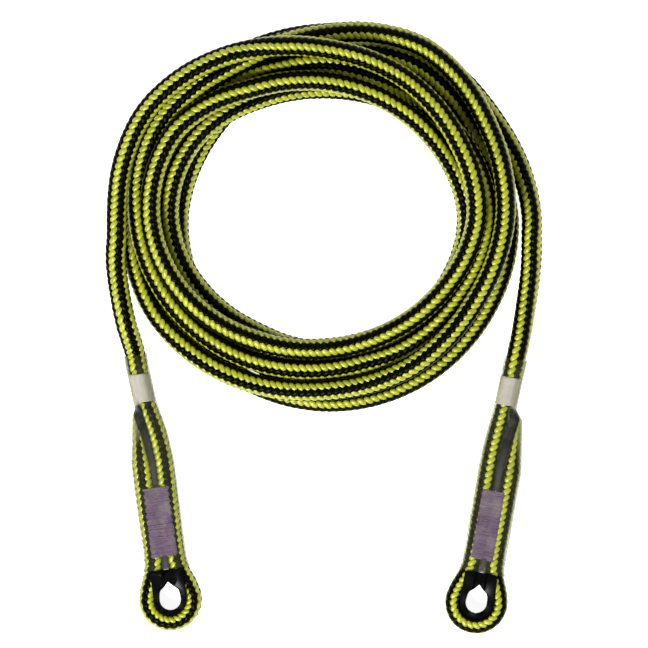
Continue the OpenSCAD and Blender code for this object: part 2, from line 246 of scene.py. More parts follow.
def smooth_line(points, step):
    """(place, sample) every step along a smooth curve through the points, and each point's place."""
    gaps = np.linalg.norm(np.diff(points, axis=0), axis=1)
    slopes = np.diff(points, axis=0) / gaps[:, None]
    before, after = gaps[:-1, None], gaps[1:, None]
    inner = (slopes[:-1] * after + slopes[1:] * before) / (before + after)
    ways = np.concatenate([slopes[:1], inner, slopes[-1:]])
    fine, marks = [points[:1]], [0]
    for i, gap in enumerate(gaps):
        t = np.linspace(0, 1, max(LEAST_STEPS, int(gap / FINE_STEP)) + 1)[1:, None]
        a, b = points[i], points[i + 1]
        # The cubic curve from a to b that has the given slope at each end.
        fine.append(
            a * (2 * t**3 - 3 * t**2 + 1)
            + ways[i] * gap * (t**3 - 2 * t**2 + t)
            + b * (3 * t**2 - 2 * t**3)
            + ways[i + 1] * gap * (t**3 - t**2)
        )
        marks.append(marks[-1] + len(t))
    fine = np.concatenate(fine)
    along = np.concatenate([[0], np.cumsum(np.linalg.norm(np.diff(fine, axis=0), axis=1))])
    s = np.arange(0, along[-1], step)
    return s, np.stack([np.interp(s, along, fine[:, k]) for k in range(3)], 1), along[marks]


ROUTE_STEP = 0.5
LABEL_SQUEEZE = 0.3

# The whole rope, from the right tail's tip through the coil to the left tail's tip. The coil runs
# on straight for one diameter at each end.
turns = coil_points()
coil_start = turns[0] - ROPE_D * round_way(0)
coil_end = turns[-1] + ROPE_D * round_way(LAST_RING)
left_points, left_radii = eye_points(LEFT_TOP)
right_points, right_radii = eye_points(RIGHT_TOP)
above_seam = (SEAM + 2, SEAM + 1)
right_top = right_place(standing_points(RIGHT_TOP, above_seam))
right_leg = np.concatenate([bent(coil_start, RIGHT_BEND), right_top])[::-1]
left_top = left_place(standing_points(LEFT_TOP, above_seam))
left_leg = np.concatenate([bent(coil_end, LEFT_BEND), left_top])
free_points = np.concatenate([right_leg, [coil_start], turns, [coil_end], left_leg])
route_points = np.concatenate(
    [right_place(right_points)[::-1], free_points, left_place(left_points)]
)
route_radii = np.concatenate([right_radii[::-1], [ROPE_R] * len(free_points), left_radii])
s_route, centre, marks = smooth_line(route_points, ROUTE_STEP)
radius = np.interp(s_route, marks, route_radii)
right_seam_s = marks[len(right_radii) - 1]
left_seam_s = marks[len(route_points) - len(left_radii)]
# The labels squeeze the rope, which has its full size again one label's length beyond them.
for seam_s in (right_seam_s, left_seam_s):
    radius -= LABEL_SQUEEZE * np.clip(1.5 - np.abs(s_route - seam_s) / LABEL_L, 0, 1)
# Ahead along the rope, level to its right side, and square to both.
way = np.gradient(centre, axis=0)
way /= np.linalg.norm(way, axis=1)[:, None]
side = np.cross(way, [0, 0, 1])
side /= np.linalg.norm(side, axis=1)[:, None]
up = np.cross(side, way)

first_turn = len(right_radii) + len(right_leg) + 1


def turn_s(turn, angle):
    """How far along the rope a turn passes an angle."""
    return marks[first_turn + int((turn * 360 + angle) * TURN_RINGS / 360)]


# Where the middle of a yellow stripe is, in degrees round the rope from its outer side (the eye's
# inner side) up over its top, at places along the rope. The yellow stripes are 90 degrees apart.
# The first two lists hold (distance from the right tail's tip, angle) and (distance from the right
# seam, angle). Each turn's list holds (angle in the coil, angle), and the left one holds (distance
# from the left seam, angle).
RIGHT_EYE_STRIPES = [(0, 92), (100, 91), (140, 99), (165, 95), (185, 96), (220, 84)]
RIGHT_LEG_STRIPES = [(-10, 96), (30, 102), (58, 112), (88, 122)]
TURN_STRIPES = [
    [(10, 112), (30, 130), (190, 178), (210, 172), (230, 195), (270, 210), (310, 230), (350, 262)],
    [(20, 280), (80, 295), (125, 312), (150, 337), (170, 338), (190, 357), (210, 355), (250, 358),
     (270, 369), (290, 387), (310, 369)],
    [(0, 345), (70, 365), (110, 455), (280, 429), (320, 446)],
    [(60, 476), (150, 490), (170, 506)],
    [(90, 575), (150, 610), (210, 594)],
    [(10, 602), (40, 615), (120, 631), (150, 603), (280, 601), (310, 616)],
    [(10, 614), (50, 626), (105, 638), (130, 599), (170, 612)],
]
LEFT_STRIPES = [
    (-105, 613), (-75, 602), (-43, 599), (-13, 596), (43, 604),
    (70, 596), (98, 597), (125, 596), (150, 618), (200, 607),
]
LEFT_TIP_STRIPE = 592
stripe_keys = [
    *RIGHT_EYE_STRIPES,
    *((right_seam_s + s, angle) for s, angle in RIGHT_LEG_STRIPES),
    *((turn_s(turn, at), angle) for turn, keys in enumerate(TURN_STRIPES) for at, angle in keys),
    *((left_seam_s + s, angle) for s, angle in LEFT_STRIPES),
    (s_route[-1], LEFT_TIP_STRIPE),
]
stripe = np.interp(s_route, *zip(*stripe_keys))

# The braid's pitch, from one float to the next of its colour: closer in the eyes, where the sewn
# rope is pushed together, and closest round the bights. The lists hold (distance from the right
# tail's tip, pitch) and (distance from the left seam, pitch).
PITCH, STRAND_PITCH, BIGHT_PITCH = 4.1, 3.9, 3.55
RIGHT_EYE_PITCHES = [
    (0, PITCH), (100, STRAND_PITCH), (120, BIGHT_PITCH),
    (165, BIGHT_PITCH), (180, STRAND_PITCH), (260, STRAND_PITCH),
]
LEFT_EYE_PITCHES = [
    (-20, PITCH), (20, STRAND_PITCH), (100, STRAND_PITCH),
    (118, BIGHT_PITCH), (165, BIGHT_PITCH), (185, STRAND_PITCH),
]
pitch_keys = [
    *RIGHT_EYE_PITCHES,
    (right_seam_s + 20, PITCH),
    *((left_seam_s + s, size) for s, size in LEFT_EYE_PITCHES),
    (s_route[-1], PITCH),
]
pitch = np.interp(s_route, *zip(*pitch_keys))
# How many floats of one stripe lie before each place on the rope.
float_count = np.cumsum(ROUTE_STEP / pitch)


def on_rope(s, phi, lift):
    """Points at angle phi round the rope at s, lift being the distance from its centreline."""
    out = []
    for k in range(3):
        sideways = np.cos(phi) * np.interp(s, s_route, side[:, k])
        upwards = np.sin(phi) * np.interp(s, s_route, up[:, k])
        out.append(np.interp(s, s_route, centre[:, k]) + lift * (sideways + upwards))
    out[2] = np.maximum(out[2], LOWEST)
    return np.stack(out, -1)


# ---- Meshes --------------------------------------------------------------------------------


def linked(name, data):
    """A new object in the scene."""
    made = bpy.data.objects.new(name, data)
    bpy.context.scene.collection.objects.link(made)
    return made


def add_mesh(name, material, points, faces, uv=None, fields=None):
    """A smooth mesh of the given points (mm) and faces, with a UV map and fields on its points."""
    mesh = bpy.data.meshes.new(name)
    mesh.from_pydata((np.asarray(points) * MM).tolist(), [], [list(face) for face in faces])
    mesh.shade_smooth()
    if uv is not None:
        layer = mesh.uv_layers.new(name="strand")
        layer.uv.foreach_set("vector", np.asarray(uv, np.float32)[faces.ravel()].ravel())
    for field, values in (fields or {}).items():
        made = mesh.attributes.new(field, "FLOAT", "POINT")
        made.data.foreach_set("value", np.asarray(values, np.float32))
    mesh.materials.append(material)
    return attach(linked(name, mesh), BODY)


def circle(sides):
    """Evenly spaced angles round a circle."""
    return np.linspace(0, 2 * math.pi, sides + 1)[:-1]


def grid_faces(rows, columns, closed=False, first=0, flip=False):
    """Quads of a grid of points, row by row; closed joins each row's last point to its first."""
    wide = columns if closed else columns - 1
    i, k = np.meshgrid(np.arange(rows - 1), np.arange(wide), indexing="ij")
    a, b = i * columns + k, i * columns + (k + 1) % columns
    quads = np.stack([a, b, b + columns, a + columns], -1).reshape(-1, 4) + first
    return quads[:, ::-1] if flip else quads


def tube(loops, caps=True):
    """Points and faces of a tube through loops of points, with a cap drawn to a middle at each end."""
    loops = np.asarray(loops)
    rows, columns = loops.shape[:2]
    points = loops.reshape(-1, 3)
    faces = grid_faces(rows, columns, closed=True).tolist()
    if caps:
        points = np.concatenate([points, [loops[0].mean(0)], [loops[-1].mean(0)]])
        low, high, last = len(points) - 2, len(points) - 1, (rows - 1) * columns
        for k in range(columns):
            j = (k + 1) % columns
            faces.append([j, k, low])
            faces.append([last + k, last + j, high])
    return points, faces


# ---- Materials -----------------------------------------------------------------------------


class Nodes:
    """Builds one material's nodes. A value that isn't a socket is set on the node's own input."""

    def __init__(self, name):
        self.material = bpy.data.materials.new(name)
        self.material.use_nodes = True
        self.tree = self.material.node_tree
        self.tree.nodes.clear()

    def add(self, kind, settings=None, **inputs):
        """A new node. Its inputs are given by name, with _ for a space, or as i and a number."""
        made = self.tree.nodes.new("ShaderNode" + kind)
        for key, value in (settings or {}).items():
            setattr(made, key, value)
        for key, value in inputs.items():
            self.put(made, key.replace("_", " "), value)
        return made

    def put(self, made, key, value):
        """Link or set one input of a node."""
        numbered = key[:1] == "i" and key[1:].isdigit()
        socket = made.inputs[int(key[1:])] if numbered else made.inputs[key]
        if isinstance(value, bpy.types.NodeSocket):
            self.tree.links.new(value, socket)
        else:
            socket.default_value = value

    def maths(self, operation, a, b, clamp=False):
        made = self.add("Math", {"operation": operation, "use_clamp": clamp}, i0=a, i1=b)
        return made.outputs[0]

    def mapped(self, value, **limits):
        return self.add("MapRange", Value=value, **limits).outputs[0]

    def mix(self, share, a, b):
        """Colour a turning into colour b as the share goes from 0 to 1."""
        return self.add("Mix", {"data_type": "RGBA"}, i0=share, i6=a, i7=b).outputs[2]

    def ramp(self, value, *stops):
        """A colour from stops of (place, colour). A new ramp has two stops already."""
        made = self.add("ValToRGB", Fac=value)
        ramp = made.color_ramp
        for k, (place, colour) in enumerate(stops):
            stop = ramp.elements[k] if k < 2 else ramp.elements.new(place)
            stop.position = place
            stop.color = colour
        return made.outputs[0]

    def field(self, name):
        return self.add("Attribute", {"attribute_name": name}).outputs["Fac"]

    def strand_uv(self, along, across):
        """The place on a strand, in mm along and across it, scaled by these two numbers."""
        uv = self.add("UVMap", {"uv_map": "strand"}).outputs[0]
        return self.add("Mapping", Vector=uv, Scale=(along, across, 1)).outputs[0]

    def noise(self, vector, scale, detail=2, rough=0.5):
        made = self.add("TexNoise", Vector=vector, Scale=scale, Detail=detail, Roughness=rough)
        return made.outputs[0]

    def place(self):
        return self.add("TexCoord").outputs["Object"]

    def bump(self, height, strength, distance):
        return self.add("Bump", Height=height, Strength=strength, Distance=distance).outputs[0]

    def finish(self, **inputs):
        shader = self.add("BsdfPrincipled", **inputs)
        out = self.add("OutputMaterial")
        self.tree.links.new(shader.outputs[0], out.inputs[0])
        return self.material


def grey(value):
    return (value, value, value, 1)


def yarn_material(name, shaded, body, worn, roughness, gloss, tint):
    """Yarn of fine filaments: colour varies from float to float and along each filament.

    Both noises are stretched along the float, and the plies are coarser than the filaments.
    """
    n = Nodes(name)
    filaments = n.noise(n.strand_uv(along=0.25, across=6), scale=1, detail=3, rough=0.6)
    plies = n.noise(n.strand_uv(along=0.06, across=1.1), scale=1, detail=1)
    by_float = n.ramp(n.field("shade"), (0, shaded), (0.55, body), (1, worn))
    by_filament = n.ramp(filaments, (0.3, shaded), (0.5, body), (0.75, worn))
    # Painted shade: in the creases the colour turns towards the shaded one.
    crease_shade = n.maths("MULTIPLY", n.field("deep"), 0.8)
    height = n.maths("ADD", n.maths("MULTIPLY", filaments, 0.5), plies)
    return n.finish(
        Base_Color=n.mix(crease_shade, n.mix(0.55, by_float, by_filament), shaded),
        Roughness=n.mapped(filaments, To_Min=roughness - 0.1, To_Max=roughness + 0.15),
        Normal=n.bump(height, strength=0.5, distance=0.25 * MM),
        Specular_IOR_Level=gloss,
        Specular_Tint=tint,
    )


def soft_material(name, grain, dark, light, roughness):
    """Plain yarn that hardly shows."""
    n = Nodes(name)
    colour = n.ramp(n.noise(n.place(), scale=grain), (0.3, dark), (0.7, light))
    return n.finish(Base_Color=colour, Roughness=roughness)


def thimble_material():
    """Black moulded plastic with a fine grain."""
    n = Nodes("black_polyamide")
    grain = n.noise(n.place(), scale=1500, detail=3)
    cloud = n.noise(n.place(), scale=90)
    return n.finish(
        Base_Color=n.ramp(cloud, (0.3, grey(0.001)), (0.7, grey(0.002))),
        Specular_IOR_Level=0.07,
        Roughness=n.mapped(cloud, To_Min=0.25, To_Max=0.35),
        Normal=n.bump(grain, strength=0.25, distance=0.05 * MM),
    )


def thread_material():
    """Twisted lilac thread, with painted sheen in paler, greyer streaks along its loops."""
    n = Nodes("lilac_thread")
    deep, lilac, painted_sheen = (0.035, 0.016, 0.05, 1), (0.13, 0.07, 0.15, 1), (0.16, 0.125, 0.15, 1)
    twist = n.noise(n.strand_uv(along=1.2, across=1.2), scale=1)
    cloud = n.noise(n.place(), scale=90)
    runs = n.noise(n.strand_uv(along=0.15, across=0.3), scale=1)
    both = n.maths("MULTIPLY", n.maths("ADD", cloud, runs), 0.5)
    sheen_streaks = n.mapped(both, From_Min=0.4, From_Max=0.64)
    # Painted sheen: the streaks turn the thread pale grey.
    colour = n.mix(sheen_streaks, n.ramp(twist, (0.3, deep), (0.7, lilac)), painted_sheen)
    return n.finish(Base_Color=colour, Roughness=0.5, Specular_IOR_Level=0.15)


def label_material():
    """An off-white band, darker on one side for its print and painted shade."""
    n = Nodes("label_film")
    shaded, light, print_and_shade = (0.28, 0.26, 0.22, 1), (0.34, 0.315, 0.27, 1), (0.16, 0.15, 0.1, 1)
    cloud = n.noise(n.place(), scale=250, detail=3)
    print_and_shade_share = n.maths("MULTIPLY", n.field("print_and_shade"), 0.6)
    return n.finish(
        Base_Color=n.mix(print_and_shade_share, n.ramp(cloud, (0.3, shaded), (0.7, light)), print_and_shade),
        Roughness=0.4,
        Normal=n.bump(cloud, strength=0.3, distance=0.2 * MM),
    )


def sleeve_material():
    """Clear film: dark with painted shade in its web between the strands, olive at its rim, milky where
    it closes.
    """
    n = Nodes("clear_sleeve")
    shade_brown, black = (0.055, 0.05, 0.045, 1), (0.008, 0.009, 0.005, 1)
    straw, olive, milky = (0.36, 0.37, 0.2, 1), (0.33, 0.35, 0.12, 1), (0.6, 0.6, 0.52, 1)
    wrinkles = n.noise(n.place(), scale=220, detail=3)
    haze = n.mapped(wrinkles, To_Min=0.0, To_Max=0.04)
    web, rim = n.field("web"), n.field("rim")
    # Painted shade: the web goes from brown to black further up the eye and in the wrinkles.
    shade = n.maths("MULTIPLY", n.field("web_shade_depth"), n.maths("ADD", wrinkles, 0.4), clamp=True)
    web_shade_colour = n.mix(shade, shade_brown, black)
    milk = n.maths("MULTIPLY", n.field("milk"), wrinkles)
    colour = n.mix(milk, n.mix(rim, straw, olive), milky)
    # The web is made dense to show its painted shade, and the rim denser than the clear film.
    dense = n.maths("ADD", n.maths("MULTIPLY", web, 0.8), n.maths("MULTIPLY", rim, 0.45))
    dark = n.maths("MULTIPLY", web, 4, clamp=True)
    return n.finish(
        Base_Color=n.mix(dark, colour, web_shade_colour),
        Roughness=0.3,
        Specular_IOR_Level=0.3,
        Alpha=n.maths("ADD", haze, n.maths("ADD", dense, milk), clamp=True),
        Normal=n.bump(wrinkles, strength=0.4, distance=0.4 * MM),
    )


# The shaded colour is the painted shade in the creases, and also the darkest tone that floats and
# filaments vary to.
yellow_yarn = yarn_material(
    "yellow_yarn",
    shaded=(0.055, 0.09, 0.001, 1),
    body=(0.28, 0.305, 0.002, 1),
    worn=(0.43, 0.44, 0.01, 1),
    roughness=0.4,
    gloss=1.0,
    tint=(1, 0.98, 0.5, 1),
)
black_yarn = yarn_material(
    "black_yarn",
    shaded=(0.0002, 0.0002, 0.0001, 1),
    body=(0.0006, 0.0006, 0.0005, 1),
    worn=(0.003, 0.003, 0.002, 1),
    roughness=0.3,
    gloss=0.05,
    tint=(0.9, 0.92, 0.6, 1),
)
# Painted shade: the yarn under the braid is coloured dark olive for the shade that lies under the
# floats.
shaded_under_yarn = soft_material(
    "shaded_under_yarn",
    grain=900,
    dark=(0.01, 0.011, 0.002, 1),
    light=(0.05, 0.052, 0.006, 1),
    roughness=0.8,
)
core_yarn = soft_material(
    "core_yarn",
    grain=700,
    dark=(0.6, 0.57, 0.5, 1),
    light=(0.75, 0.72, 0.66, 1),
    roughness=0.7,
)
polyamide, thread = thimble_material(), thread_material()
label_film, clear_film = label_material(), sleeve_material()

# ---- The braid -----------------------------------------------------------------------------

# Eight yellow strands run round the rope one way and eight black ones the other, each over two and
# under two, so that each colour shows as four stripes of short slanting floats.
STRIPES = 4
STRIPE_ARC = 2 * math.pi * ROPE_R / (2 * STRIPES)
# A float is drawn from -TUCK to TUCK of its seen half length, so its ends go under the next stripe.
TUCK = 1.3
FLOAT_ROWS, FLOAT_COLUMNS = 8, 6
# The crown's distance from the rope's middle, and how far a float's ends and edges lie below it.
TOP_R = 6.3
END_DROP = 0.55
EDGE_DROP = 0.65
NARROW_TO = 1.2
# The black strands stand a little higher and are wider than the yellow ones, whose ends narrow more.
# hand is the way that the strands run round, turn (degrees) and shift (floats) place the stripes,
# spread widens a float (mm) and taper narrows its ends.
YELLOW = {"hand": -1, "turn": 0, "shift": 0, "lift": -0.1, "spread": 0.2, "taper": 0.32}
BLACK = {"hand": 1, "turn": 45, "shift": 0.5, "lift": 0.08, "spread": 0.3, "taper": 0.1}
# How unevenly the floats lie: slant in degrees, place and height in mm, and their shade.
TILT_ERROR, SLIP_ERROR, RISE_ERROR, SHADE_ERROR = 1.2, 0.06, 0.035, 0.13
UV_SHIFT = (500, 90)
# The yarn under the braid and the core are plain tubes, with rings a step apart.
UNDER_R, UNDER_STEP, UNDER_SIDES = 5.15, 3, 16
CORE_STEP, CORE_SIDES = 4, 10
# The yarns end this far from the tails' tips.
TIP_GAP = 2
# The free rope's line takes every sixth place on the route.
CORD_STRIDE = 6


def floats(s_from, s_to, hand, turn, shift, lift, spread, taper):
    """(points, faces, uv, fields) of every float of one colour between two places on the rope."""
    # The middles of the floats, at s0 along the rope and phi0 round it.
    first, last = np.interp([s_from, s_to], s_route, float_count)
    rows = np.arange(math.ceil(first - shift), math.ceil(last - shift)) + shift
    s0 = np.repeat(np.interp(rows, float_count, s_route), STRIPES)
    quarter = np.tile(np.arange(STRIPES), len(rows)) * 2 * math.pi / STRIPES
    phi0 = np.radians(np.interp(s0, s_route, stripe) + turn) + quarter
    count = len(s0)
    step = np.interp(s0, s_route, pitch)[:, None]
    slant = np.arctan(STRIPE_ARC / step)
    seen_half = np.hypot(STRIPE_ARC, step) / 2
    half_w = step * np.sin(slant) / 2 + spread
    # One float's grid: a goes along it, 1 where its seen end is, and b goes across it to 1 at its edge.
    a, b = np.meshgrid(
        np.linspace(-TUCK, TUCK, FLOAT_ROWS), np.linspace(-1, 1, FLOAT_COLUMNS), indexing="ij"
    )
    a, b = a.ravel(), b.ravel()
    tilt = slant + np.radians(rng.normal(0, TILT_ERROR, count))[:, None]
    slip = rng.normal(0, SLIP_ERROR, count)[:, None]
    rise = rng.normal(0, RISE_ERROR, count)[:, None]
    narrow = 1 - taper * np.minimum(np.abs(a), NARROW_TO) ** 3
    lengthwise, crosswise = a * seen_half, b * half_w * narrow + slip
    along = lengthwise * np.cos(tilt) - crosswise * hand * np.sin(tilt)
    arc = lengthwise * hand * np.sin(tilt) + crosswise * np.cos(tilt)
    s = np.clip(s0[:, None] + along, s_route[0], s_route[-1])
    size = np.interp(s, s_route, radius) / ROPE_R
    profile = TOP_R + lift - END_DROP * np.abs(a) ** 3 - EDGE_DROP * np.abs(b) ** 3
    points = on_rope(s, phi0[:, None] + arc / ROPE_R, (profile + rise) * size)
    grid = grid_faces(FLOAT_ROWS, FLOAT_COLUMNS, flip=hand < 0)
    faces = grid[None] + (np.arange(count) * len(a))[:, None, None]
    u = lengthwise + rng.uniform(0, UV_SHIFT[0], count)[:, None]
    v = crosswise + rng.uniform(0, UV_SHIFT[1], count)[:, None]
    # The creases, where shade is painted in: a float's edges, and its ends from nine tenths of its seen
    # half length on.
    deep = np.maximum(np.abs(b) ** 6 / 2, np.clip(np.abs(a) * 4 - 3.6, 0, 1))
    shade = np.clip(0.5 + rng.normal(0, SHADE_ERROR, count), 0, 1)
    fields = {"deep": np.tile(deep, count), "shade": np.repeat(shade, len(a))}
    uv = np.stack([u, v], -1)
    return points.reshape(-1, 3), faces.reshape(-1, 4), uv.reshape(-1, 2), fields


def pipe(s_from, s_to, step, lift, sides):
    """A tube inside the braid."""
    s = np.linspace(s_from, s_to, max(2, round((s_to - s_from) / step)))
    size = np.interp(s, s_route, radius)[:, None] / ROPE_R
    loops = on_rope(np.broadcast_to(s[:, None], (len(s), sides)), circle(sides)[None, :], lift * size)
    return tube(loops[:, ::-1])


def rope_stretch(prefix, s_from, s_to):
    """The yarns and the core of one stretch of rope: (yellow, black, under, core)."""
    yellow = add_mesh(prefix + "_yellow_yarn", yellow_yarn, *floats(s_from, s_to, **YELLOW))
    black = add_mesh(prefix + "_black_yarn", black_yarn, *floats(s_from, s_to, **BLACK))
    under_tube = pipe(s_from, s_to, UNDER_STEP, UNDER_R, UNDER_SIDES)
    under = add_mesh(prefix + "_shaded_under_yarn", shaded_under_yarn, *under_tube)
    core = add_mesh(prefix + "_core", core_yarn, *pipe(s_from, s_to, CORE_STEP, CORE_R, CORE_SIDES))
    return yellow, black, under, core


yellow, black, under, core = rope_stretch("rope", right_seam_s, left_seam_s)
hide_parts("coil_sheath", "left_leg_sheath", "right_leg_sheath")
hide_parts("coil_core", "left_leg_core", "right_leg_core")
free = (s_route >= right_seam_s) & (s_route <= left_seam_s)
free_line = centre[free][::CORD_STRIDE] * MM
tuple(free_line[0])

eye_stretches = {"right": (TIP_GAP, right_seam_s), "left": (left_seam_s, s_route[-1] - TIP_GAP)}
for eye, (s_from, s_to) in eye_stretches.items():
    yellow, _, _, core = rope_stretch(eye + "_eye", s_from, s_to)
    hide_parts(eye + "_eye_sheath", eye + "_tail_end")
    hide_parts(eye + "_eye_core")

# ---- Stitching -----------------------------------------------------------------------------

# The right eye's stitching is narrower, and lies a little towards its standing strand.
STITCH_L = 42
STITCH_W = {"left": 15.8, "right": 13.8}
STITCH_SHIFT = {"left": 0, "right": 1.1}
THREAD_R, THREAD_SIDES, THREAD_ROWS = 0.32, 6, 64
# A loop is a rectangle with rounded corners (the power), and dips between the strands. The noise
# goes on by LOOP_STEP from point to point, and by LOOP_SHIFT from loop to loop.
LOOP_POINTS, LOOP_POWER, LOOP_STEP, LOOP_SHIFT = 48, 14, 0.9, 50
VALLEY_DEEP, VALLEY_HALF = 0.5, 2.2
# How unevenly the loops lie along the eye, and how far each side of a loop leans along it.
ROW_ERROR = 0.05
LEAN, LEAN_ERROR = 0.1, 0.05


def thread_loop(y, lean, width, shift):
    """One loop of thread over and under both strands, in the eye's frame."""
    half_w, half_h = width / 2, ROPE_R + SOFT_GAP
    angle = circle(LOOP_POINTS)
    wide, high = np.abs(np.cos(angle) / half_w), np.abs(np.sin(angle) / half_h)
    scale = (wide**LOOP_POWER + high**LOOP_POWER) ** (-1 / LOOP_POWER)
    x, z = scale * np.cos(angle), scale * np.sin(angle)
    valley = VALLEY_DEEP * np.exp(-(((x + shift) / VALLEY_HALF) ** 2)) * np.sign(z)
    line = np.stack([x + shift, y + lean * x / half_w * np.sign(z), EYE_Z + z - valley], 1)
    ahead = np.roll(line, -1, 0) - np.roll(line, 1, 0)
    ahead /= np.linalg.norm(ahead, axis=1)[:, None]
    across = np.array([0.0, 1.0, 0.0])
    out = np.cross(ahead, across)
    out /= np.linalg.norm(out, axis=1)[:, None]
    ring = circle(THREAD_SIDES)[None, :, None]
    return line[:, None] + THREAD_R * (np.cos(ring) * across + np.sin(ring) * out[:, None])


def stitching(place, width, shift):
    """(points, faces, uv) of one eye's loops of thread, from the neck up."""
    points, faces, uv = [], [], []
    size = LOOP_POINTS * THREAD_SIDES
    quads = grid_faces(LOOP_POINTS + 1, THREAD_SIDES, closed=True) % size
    u, v = np.meshgrid(np.arange(LOOP_POINTS) * LOOP_STEP, np.arange(THREAD_SIDES), indexing="ij")
    for row, y in enumerate(np.linspace(NECK_Y + 1, NECK_Y + STITCH_L, THREAD_ROWS)):
        row_y = y + rng.normal(0, ROW_ERROR)
        loops = thread_loop(row_y, rng.normal(LEAN, LEAN_ERROR), width, shift)
        points.append(loops.reshape(-1, 3))
        faces.append(quads + row * size)
        uv.append(np.stack([u.ravel() + LOOP_SHIFT * (row + 1), v.ravel()], 1))
    return place(np.concatenate(points)), np.concatenate(faces), np.concatenate(uv)


# ---- Sleeve and label ----------------------------------------------------------------------

FILM_STEP = 1.2
FILM_SIDES = 64
STANDING_ARC_POINTS, TAIL_ARC_POINTS = 60, 80
# The film's inner face lies this far outside the sleeve's own gap, so that its folds stay clear of
# the rope, and it goes no lower than the second height.
FILM_CLEAR, INNER_LOWEST = 0.2, 0.2
# The folds are the sum of waves that each go a whole number of times round the film, climb by up to
# some waves along it either way, and start anywhere.
FOLD_SIZE, FOLD_WAVES = 0.22, 7
FOLD_TURNS, FOLD_CLIMB, FOLD_START = (3, 15), 9, (0, 6.28)
# Above the tail's tip the film comes in to the standing strand: where, how far in and how thin.
CLOSE_Y, CLOSE_X, CLOSE_R = TOP_Y[4] + 2, 3, 0.3
STITCH_END = NECK_Y + STITCH_L
SAG_Y, FILM_SAG = [NECK_Y, STITCH_END, STITCH_END + 8, TOP_Y[4]], [0.3, 0.3, 1.0, 0.5]
# The web is the film between the strands, painted dark and dense for the shade that lies there: none
# over the stitching, and wider and more deeply shaded at its top. The rim is the film at the outline,
# and the milk is where the film closes over the tail.
WEB_Y = [NECK_Y, NECK_Y + 2, STITCH_END, STITCH_END + 3, TOP_Y[3], TOP_Y[4]]
WEB_SHARE = [1, 0, 0, 1, 1, 0]
WEB_HALF, WEB_EDGE = 1.3, 0.5
WEB_WIDENS_Y = [TOP_Y[0] - 8, TOP_Y[2]]
RIM_HALF, RIM_FROM = 3.4, 1.4
MILK_Y, MILK_HALF, MILK_X, MILK_FADE = TOP_Y[3] + 4, 4, 3, 2

LABEL_R = ROPE_R + 0.12
LABEL_WALL = 0.18
LABEL_ROWS, LABEL_SIDES = 18, 48
# The band darkens for its print and painted shade from this far across its middle (mm), fully at twice
# as far.
PRINT_AND_SHADE_FROM = 1.5


def strand_at(top, y):
    """Across the eye, the standing strand's place at y."""
    ys = [0, NECK_Y, *TOP_Y]
    xs = [STRAND_X, STRAND_X] + [share * STRAND_X for share in top]
    return np.interp(y, ys, xs)


def film_outline(top, y, reach):
    """The film round two circles, the standing strand (x1, r1) and the tail (x2, r2), at y."""
    x1, r1 = float(strand_at(top, y)), ROPE_R + reach
    x2 = float(np.interp(y, [TOP_Y[2], TOP_Y[3], CLOSE_Y], [-STRAND_X, -STRAND_X, x1 - CLOSE_X]))
    r2 = float(np.interp(y, [0, *TOP_Y[:4], CLOSE_Y], [ROPE_R, *TAIL_R, CLOSE_R])) + reach
    if y < NECK_Y:
        below = min(NECK_Y - y, NECK_R * math.sin(LEAVE))
        spread = NECK_R - math.sqrt(NECK_R**2 - below**2)
        x1, x2 = x1 + spread, x2 - spread
    meet = math.acos(max(-1.0, min(1.0, (r2 - r1) / (x1 - x2))))
    first = np.linspace(0, meet, STANDING_ARC_POINTS)
    second = np.linspace(meet, 2 * math.pi - meet, TAIL_ARC_POINTS)
    back = first[::-1]
    x = np.concatenate([x1 + r1 * np.cos(first), x2 + r2 * np.cos(second), x1 + r1 * np.cos(back)])
    z = np.concatenate([r1 * np.sin(first), r2 * np.sin(second), -r1 * np.sin(back)])
    along = np.concatenate([[0], np.cumsum(np.hypot(np.diff(x), np.diff(z)))])
    even = np.linspace(0, along[-1], FILM_SIDES, endpoint=False)
    return x1, r1, x2, r2, np.interp(even, along, x), np.interp(even, along, z)


def film_ring(top, y, extra):
    """Rows of x, y, z and the web, rim, milk and painted shade depth shares round the film at y up the
    eye.
    """
    x1, r1, x2, r2, x, z = film_outline(top, y, SLEEVE_GAP + extra)
    middle, half = (x1 + x2) / 2, (x1 - x2) / 2
    bridge = np.clip(1 - ((x - middle) / half) ** 2, 0, 1)
    sag = np.interp(y, SAG_Y, FILM_SAG)
    # Halfway between the strands' facing sides.
    valley = (x1 - r1 + x2 + r2) / 2
    web_half = np.interp(y, WEB_WIDENS_Y, [WEB_HALF, 2 * WEB_HALF])
    web = np.clip(web_half + WEB_EDGE - np.abs(x - valley), 0, 1) * np.interp(y, WEB_Y, WEB_SHARE)
    rim = np.clip(RIM_FROM - np.abs(z) / RIM_HALF, 0, 1)
    beside = np.clip((x1 - MILK_X - x) / MILK_FADE, 0, 1)
    milk = np.exp(-(((y - MILK_Y) / MILK_HALF) ** 2)) * beside
    # How deep the web's painted shade is, rising up the eye.
    web_shade_depth = np.full_like(x, np.interp(y, WEB_WIDENS_Y, [0, 1]))
    height = EYE_Z + z - np.sign(z) * bridge * sag
    return np.stack([x, np.full_like(x, y), height, web, rim, milk, web_shade_depth], 1)


def wrinkled(rings):
    """The film's rings with small folds, mostly along the eye."""
    rows, columns = rings.shape[:2]
    v, k = np.meshgrid(np.arange(rows) / rows, np.arange(columns) / columns, indexing="ij")
    folds = np.zeros((rows, columns))
    for _ in range(FOLD_WAVES):
        turns_round = rng.integers(*FOLD_TURNS)
        climb, start = rng.uniform(-FOLD_CLIMB, FOLD_CLIMB), rng.uniform(*FOLD_START)
        folds += np.sin(2 * math.pi * (turns_round * k + climb * v) + start) / FOLD_WAVES
    middle = rings.mean(1, keepdims=True)
    out = rings - middle
    out /= np.linalg.norm(out, axis=2)[..., None]
    return rings + out * (folds * FOLD_SIZE)[..., None]


